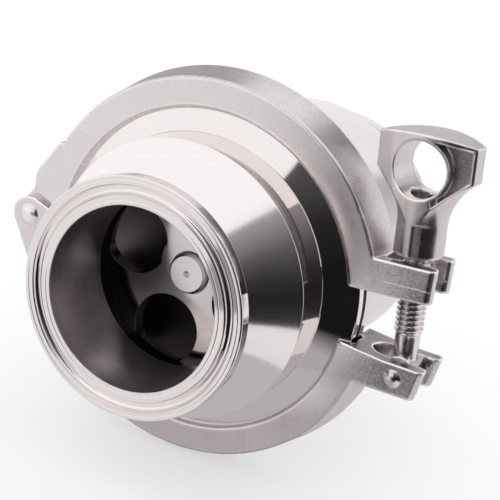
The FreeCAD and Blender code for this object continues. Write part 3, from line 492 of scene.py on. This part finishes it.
def skin(name, rows, closed, looks=None):
    # Mesh over loops of points; closed joins the last loop to the first, else both ends are capped
    built = bmesh.new()
    loops = [[built.verts.new(spot) for spot in row] for row in rows]
    around = len(loops[0])
    followers = loops[1:] + loops[:1] if closed else loops[1:]
    for number, (one, two) in enumerate(zip(loops, followers)):
        for k in range(around):
            after = (k + 1) % around
            face = built.faces.new((one[k], one[after], two[after], two[k]))
            if looks:
                face.material_index = looks[number]
    if not closed:
        built.faces.new(list(reversed(loops[0])))
        built.faces.new(loops[-1])
    bmesh.ops.recalc_face_normals(built, faces=built.faces)
    return to_mesh(name, built)


def circle(count):
    return [FULL_TURN * k / count for k in range(count)]


def rounded(corners, steps=5):
    # A corner is (along, radius, ease, material of the run that follows), and is rounded by its ease
    points = []
    count = len(corners)
    for i, (y, r, ease, look) in enumerate(corners):
        here = Vector((y, r))
        if ease <= 0.0:
            points.append((here, look))
            continue
        before = Vector(corners[i - 1][:2]) - here
        after = Vector(corners[(i + 1) % count][:2]) - here
        before_look = corners[i - 1][3]
        trim = min(ease / math.tan(before.angle(after) / 2), before.length * 0.45, after.length * 0.45)
        first = here + before.normalized() * trim
        last = here + after.normalized() * trim
        for k in range(steps + 1):
            t = k / steps
            spot = first * (1 - t) ** 2 + here * 2 * t * (1 - t) + last * t * t
            points.append((spot, look if k == steps else before_look))
    return points


# A run longer than the first of these gets a ring at the second from each end, in millimetres
LONG_RUN = 0.6
SUPPORT = 0.08


def supported(points):
    # A ring close to each end of a long run keeps the run's shading true
    result = []
    for i, (spot, look) in enumerate(points):
        run = points[(i + 1) % len(points)][0] - spot
        result.append((spot, look))
        if run.length > LONG_RUN:
            step = run.normalized() * SUPPORT
            result.append((spot + step, look))
            result.append((spot + run - step, look))
    return result


def lathe(name, points, materials, segments=224):
    points = supported(points)
    rows = [[(spot.y * math.cos(turn) * MM, spot.x * MM, spot.y * math.sin(turn) * MM)
             for turn in circle(segments)] for spot, look in points]
    mesh = skin(name, rows, True, [look for spot, look in points])
    for material in materials:
        mesh.materials.append(material)
    return mesh


def groove_arc(face, middle, side, look, half=1.4, depth=1.45, steps=12):
    # Round-bottomed gasket groove, from its inner lip outwards; side is the way into the metal
    spots = []
    for k in range(steps + 1):
        turn = math.pi * k / steps
        spots.append((face + side * depth * math.sin(turn), middle - half * math.cos(turn), 0.0, look))
    return spots


def fine_ring(radius, look, half=0.15, depth=0.07):
    return [(0.0, radius - half, 0.0, look), (depth, radius, 0.0, look), (0.0, radius + half, 0.0, look)]


def make_outlet():
    # Radii and places along the valve, as in the solid
    bore, neck, ferrule, body, flange = 24.3, 26.0, 32.0, 38.1, 47.2
    flange_face = 39.2
    plate_seat, recess = 30.5, 27.0
    shoulder, shoulder_front = 25.6, 25.3
    shiny, bored, cone, under = range(4)
    corners = [
        (0.0, bore, 0.25, shiny),
        *fine_ring(25.5, shiny),
        *groove_arc(0.0, 28.3, 1, shiny),
        *fine_ring(30.8, shiny),
        (0.0, ferrule, 0.45, shiny),
        (3.6, ferrule, 0.3, shiny),
        (5.784, neck, 1.0, shiny),
        (9.5, neck, 0.5, cone),
        (21.7, body, 0.3, shiny),
        (33.248, body, 0.35, shiny),
        (36.56, flange, 0.4, shiny),
        (flange_face, flange, 0.15, shiny),
        *reversed(groove_arc(flange_face, 41.5, -1, shiny)),
        (flange_face, 35.5, 0.0, bored),
        (35.1, recess, 0.0, bored),
        # Painted shade: the undercut before the plate takes the near-black groove material
        (plate_seat, recess, 0.0, under),
        (plate_seat, shoulder, 0.0, under),
        (shoulder_front, shoulder, 0.0, under),
        (24.9, 24.9, 0.0, under),
        (23.9, bore, 0.0, bored),
    ]
    mesh = lathe("outlet_body_turned", rounded(corners), (POLISHED, BORED, CONE, UNDERCUT_SHADE))
    add_piece("outlet_body_turned", mesh, "valve_body", "turned_steel", "outlet_body")


# Swing bolt, in millimetres up from its pivot; the crest's flat and the flanks are shares of a pitch
CREST, ROOT, SHANK, PITCH = 3.9, 3.12, 3.3, 1.41
CREST_FLAT, THREAD_FLANKS = 0.12, 0.80
THREAD_START, RUN_OUT = 10.2, 1.3
TIP_CHAMFER, TIP = 43.0, 44.0
RINGS_PER_PITCH, THREAD_RINGS = 12, 287


def clip(value):
    return min(max(value, 0.0), 1.0)


def thread_radius(turn, up):
    # Right-hand V thread with flat crests, run out on the shank and broken at the tip
    phase = (up / PITCH - turn / FULL_TURN) % 1.0
    fall = clip((abs(phase - 0.5) * 2 - CREST_FLAT) / THREAD_FLANKS)
    radius = CREST - (CREST - ROOT) * fall
    start = clip((up - THREAD_START) / RUN_OUT)
    start = start * start * (3 - 2 * start)
    radius = SHANK + (radius - SHANK) * start
    return min(radius, CREST - max(up - TIP_CHAMFER, 0.0))


def bolt_spot(side, depth, up):
    return PIVOT + (BOLT_SIDE * side + DEPTH * depth + BOLT_AXIS * up) * MM


def make_bolt():
    # Shank and thread as one turned form, joined to the eye
    around, eye_around = 56, 72
    thread = [THREAD_START + k * PITCH / RINGS_PER_PITCH for k in range(THREAD_RINGS)]
    rows = []
    for up in [3.0, 6.0, 9.0] + thread + [TIP - 0.05, TIP]:
        row = []
        for turn in circle(around):
            radius = thread_radius(turn, up) if up > THREAD_START else SHANK
            row.append(bolt_spot(radius * math.cos(turn), radius * math.sin(turn), up))
        rows.append(row)
    shaft_mesh = skin("bolt_shaft_raw", rows, False)

    half, outside, hole, ease = 4.1, 4.8, 2.09, 0.35
    section = [(-half, hole), (-half, outside - ease), (-half + ease, outside),
               (half - ease, outside), (half, outside - ease), (half, hole)]
    rows = [[bolt_spot(radius * math.cos(turn), depth, radius * math.sin(turn))
             for turn in circle(eye_around)] for depth, radius in section]
    eye_mesh = skin("bolt_eye_raw", rows, True)

    shaft, eye = (bpy.data.objects.new(mesh.name, mesh) for mesh in (shaft_mesh, eye_mesh))
    for item in (shaft, eye):
        bpy.context.collection.objects.link(item)
    joiner = shaft.modifiers.new("join", "BOOLEAN")
    joiner.operation = "UNION"
    joiner.solver = "EXACT"
    joiner.object = eye
    bpy.context.view_layer.update()
    depsgraph = bpy.context.evaluated_depsgraph_get()
    joined = bpy.data.meshes.new_from_object(shaft.evaluated_get(depsgraph))
    joined.name = "swing_bolt_threaded"
    for item in (shaft, eye):
        bpy.data.objects.remove(item)
    joined.materials.clear()
    joined.materials.append(BOLT)
    add_piece("swing_bolt_threaded", joined, "bolt", "rivet_steel", "swing_bolt")


def make_spring():
    # Coil with a closed, ground turn at each end, wound a little closer next to them
    low, high, wire, middle = 34.5, 101.5, 1.1, 10.6
    turns, closed, sides, per_turn = 10.0, 1.0, 12, 40
    first_angle, crowding = 0.8, 0.03
    rows = []
    count = int(turns * per_turn)
    for i in range(count + 1):
        at = turns * i / count
        if at < closed:
            along = wire * 0.5 + at * wire
        elif at > turns - closed:
            along = high - low - wire * 0.5 - (turns - at) * wire
        else:
            share = (at - closed) / (turns - 2 * closed)
            share = share - math.sin(FULL_TURN * share) * crowding
            span = high - low - wire - 2 * closed * wire
            along = wire * 0.5 + closed * wire + span * share
        turn = FULL_TURN * at + first_angle
        row = []
        for spin in circle(sides):
            radius = middle + wire * math.cos(spin)
            y = min(max(low + along + wire * math.sin(spin), low), high)
            row.append((radius * math.cos(turn) * MM, y * MM, radius * math.sin(turn) * MM))
        rows.append(row)
    mesh = skin("closing_spring_coil", rows, False)
    mesh.materials.append(PLUG)
    piece = add_piece("closing_spring_coil", mesh, "valve_body", "spring_wire", "closing_spring")
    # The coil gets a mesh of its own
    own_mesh(piece)


make_outlet()
make_bolt()
make_spring()


# Cloths round the valve, seen only in its reflections. Each has its turn from the front towards the
# bolt's side and its rise, in degrees, its grid, and how pale it is at some rises, from low to high
SCREENS = (
    ("front_left", (2, 34), (-30, 46), (32, 40),
     ((-30, 0.008), (-5, 0.01), (9, 0.02), (22, 0.08), (46, 0.22))),
    ("front_middle", (34, 60), (-30, 46), (32, 40),
     ((-30, 0.008), (-5, 0.012), (9, 0.036), (22, 0.105), (35, 0.24), (46, 0.34))),
    ("front_right", (60, 80), (-20.5, 46), (24, 40),
     ((-20.5, 0.03), (-5, 0.015), (9, 0.03), (22, 0.085), (35, 0.20), (46, 0.30))),
    ("right", (80, 98), (-20.5, 8), (16, 24), ((-20.5, 0.05), (8, 0.03))),
    ("low_left", (-21, 2), (-20, 4), (16, 16), ((-20, 0.34), (4, 0.22))),
    ("under_lug", (8, 42), (-50, -30), (16, 12), ((-40, 0.28), (-30, 0.28))),
    ("beneath", (80, 236), (-88, -38), (40, 24), ((-40, 0.5), (-30, 0.5))),
    ("under_corner", (42, 80), (-84, -30), (16, 24), ((-40, 0.45), (-30, 0.03))),
    ("back_right", (148, 169), (30, 47), (16, 16), ((30, 0.0), (47, 0.02))),
    ("back_middle", (148, 162), (0, 26), (16, 24), ((0, 0.75), (12, 0.55), (26, 0.42))),
    ("back_left", (201, 232), (-2, 48), (16, 16), ((-2, 0.42), (48, 0.55))),
)
SCREEN_REACH = 0.45
SCREEN_LIFT = 1.5 * MM
LOWEST_RISE, HIGHEST_RISE = -40, 60


def between(ends, share):
    return math.radians(ends[0] + (ends[1] - ends[0]) * share)


def sphere_patch(name, turns, rises, steps, floor):
    # Part of a bowl round the valve; where it would go under the floor it comes nearer instead
    across, up = steps
    built = bmesh.new()
    rows = []
    for j in range(up + 1):
        rise = between(rises, j / up)
        far = min(SCREEN_REACH, -floor / math.sin(-rise)) if rise < 0 else SCREEN_REACH
        row = []
        for i in range(across + 1):
            turn = between(turns, i / across)
            spot = Vector((math.sin(turn) * math.cos(rise), -math.cos(turn) * math.cos(rise),
                           math.sin(rise)))
            row.append(built.verts.new(spot * far))
        rows.append(row)
    for low, high in zip(rows, rows[1:]):
        for i in range(across):
            built.faces.new((low[i], low[i + 1], high[i + 1], high[i]))
    screen = bpy.data.objects.new(name, to_mesh(name, built))
    bpy.context.collection.objects.link(screen)
    screen.visible_camera = False
    screen.visible_diffuse = False
    screen.visible_shadow = False
    return screen


def screen_cloth(name, stops):
    # Studio cloth that glows a little, by its rise
    tree = Tree(name)
    x, y, z = tree.split(tree.place())
    rise = tree.math("ARCTAN2", z, tree.length(x, y))
    share = tree.spread(rise, math.radians(LOWEST_RISE), math.radians(HIGHEST_RISE))
    ramp = tree.add("ShaderNodeValToRGB")
    tree.feed(share, ramp.inputs["Fac"])
    points = ramp.color_ramp.elements
    # A new ramp has its two ends already
    ends_first = (stops[0], stops[-1], *stops[1:-1])
    for index, (angle, level) in enumerate(ends_first):
        spot = (angle - LOWEST_RISE) / (HIGHEST_RISE - LOWEST_RISE)
        item = points[index] if index < 2 else points.new(spot)
        item.position = spot
        item.color = (level, level * 0.97, level, 1.0)
    glow = tree.add("ShaderNodeEmission")
    tree.feed(ramp.outputs["Color"], glow.inputs["Color"])
    tree.feed(glow.outputs[0], tree.nodes["Material Output"].inputs["Surface"])
    return tree.material


FLOOR_REACH = 3.0
FLOOR_GLOW = 0.48
MIRRORED_SHARE = 0.62


def make_floor(low):
    mesh = bpy.data.meshes.new("studio_floor")
    corners = [(-FLOOR_REACH, -FLOOR_REACH, low), (FLOOR_REACH, -FLOOR_REACH, low),
               (FLOOR_REACH, FLOOR_REACH, low), (-FLOOR_REACH, FLOOR_REACH, low)]
    mesh.from_pydata(corners, [], [(0, 1, 2, 3)])
    floor = bpy.data.objects.new("studio_floor", mesh)
    bpy.context.collection.objects.link(floor)
    tree = Tree("floor_white")
    tree.set(Base_Color=(0.54, 0.537, 0.537, 1.0), Roughness=0.9, Specular_IOR_Level=0.1,
             Emission_Color=(1.0, 1.0, 1.0, 1.0))
    # White to the camera and through glass, and a little less so in the metal
    rays = tree.add("ShaderNodeLightPath")
    seen = tree.either(rays.outputs["Is Camera Ray"], rays.outputs["Is Transmission Ray"],
                       tree.math("MULTIPLY", rays.outputs["Is Glossy Ray"], MIRRORED_SHARE))
    tree.feed(tree.math("MULTIPLY", seen, FLOOR_GLOW), tree.shader.inputs["Emission Strength"])
    mesh.materials.append(tree.material)


def make_world():
    # Plain white all round, which is the soft light
    world = bpy.data.worlds.new("studio")
    bpy.context.scene.world = world
    world.use_nodes = True
    back = world.node_tree.nodes["Background"]
    back.inputs["Color"].default_value = (1.0, 1.0, 1.0, 1.0)
    back.inputs["Strength"].default_value = 1.0


def make_stage():
    low = cad_box[0][2]
    make_floor(low)
    make_world()
    for name, turns, rises, steps, stops in SCREENS:
        screen = sphere_patch("screen_" + name, turns, rises, steps, low + SCREEN_LIFT)
        screen.data.materials.append(screen_cloth("cloth_" + name, stops))


make_stage()
